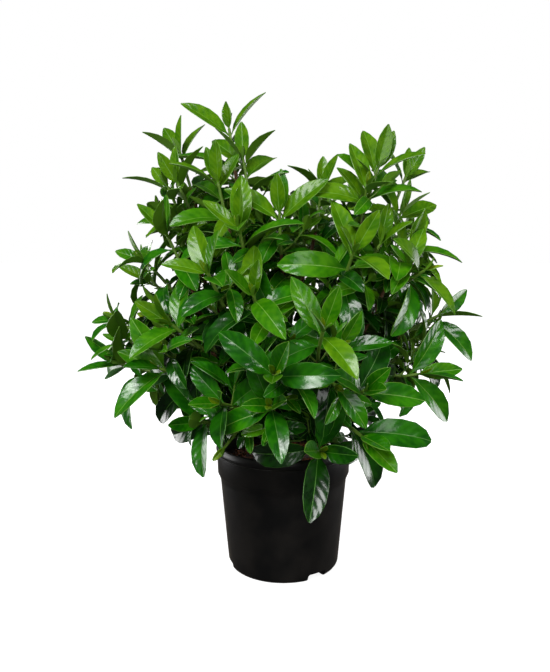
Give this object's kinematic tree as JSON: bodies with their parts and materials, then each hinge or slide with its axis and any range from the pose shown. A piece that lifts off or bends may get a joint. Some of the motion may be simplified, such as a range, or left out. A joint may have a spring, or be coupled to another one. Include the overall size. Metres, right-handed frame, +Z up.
{
  "type": "potted laurustinus",
  "caption": "Evergreen laurustinus shrub with glossy paired leaves on forked woody stems, growing in a round black nursery pot with a rolled rim.",
  "frame": {"origin": "middle of the pot's flat underside", "axes": "+Z up the trunk, -Y towards the front that the picture shows, +X to the right seen from the front"},
  "size_m": [0.5311, 0.5083, 0.6604],
  "materials": {
    "pot": "matte black moulded plastic",
    "soil": "moist bark mulch",
    "bark": "rough brown bark",
    "leaves": "glossy leathery leaves"
  },
  "bodies": {
    "root": {"bough_back_left": "bark", "bough_back_right": "bark", "bough_back_top": "bark", "bough_centre_top": "bark", "bough_front": "bark", "bough_front_left": "bark", "bough_front_right": "bark", "bough_left_low": "bark", "bough_left_upper": "bark", "bough_right_side": "bark", "bough_right_upper": "bark", "bough_top_left": "bark", "foliage_arch_left": "leaves", "foliage_behind_1": "leaves", "foliage_behind_10": "leaves", "foliage_behind_11": "leaves", "foliage_behind_12": "leaves", "foliage_behind_2": "leaves", "foliage_behind_3": "leaves", "foliage_behind_4": "leaves", "foliage_behind_5": "leaves", "foliage_behind_6": "leaves", "foliage_behind_7": "leaves", "foliage_behind_8": "leaves", "foliage_behind_9": "leaves", "foliage_centre": "leaves", "foliage_crest_left": "leaves", "foliage_hang_bright": "leaves", "foliage_left_bright": "leaves", "foliage_left_far": "leaves", "foliage_left_hang": "leaves", "foliage_left_low": "leaves", "foliage_left_mid": "leaves", "foliage_left_side": "leaves", "foliage_left_upper": "leaves", "foliage_left_upright": "leaves", "foliage_low_centre": "leaves", "foliage_low_right": "leaves", "foliage_mid_front": "leaves", "foliage_pot_front": "leaves", "foliage_right_arch": "leaves", "foliage_right_back": "leaves", "foliage_right_bright": "leaves", "foliage_right_centre": "leaves", "foliage_right_front": "leaves", "foliage_right_low_mid": "leaves", "foliage_right_low_side": "leaves", "foliage_right_mid": "leaves", "foliage_right_side": "leaves", "foliage_right_spire": "leaves", "foliage_right_upper": "leaves", "foliage_saddle": "leaves", "foliage_shoulder_left": "leaves", "foliage_spire": "leaves", "foliage_spire_right": "leaves", "foliage_upper_front": "leaves", "foliage_upper_mid": "leaves", "pot": "pot", "soil": "soil", "trunk": "bark"}
  },
  "joints": []
}
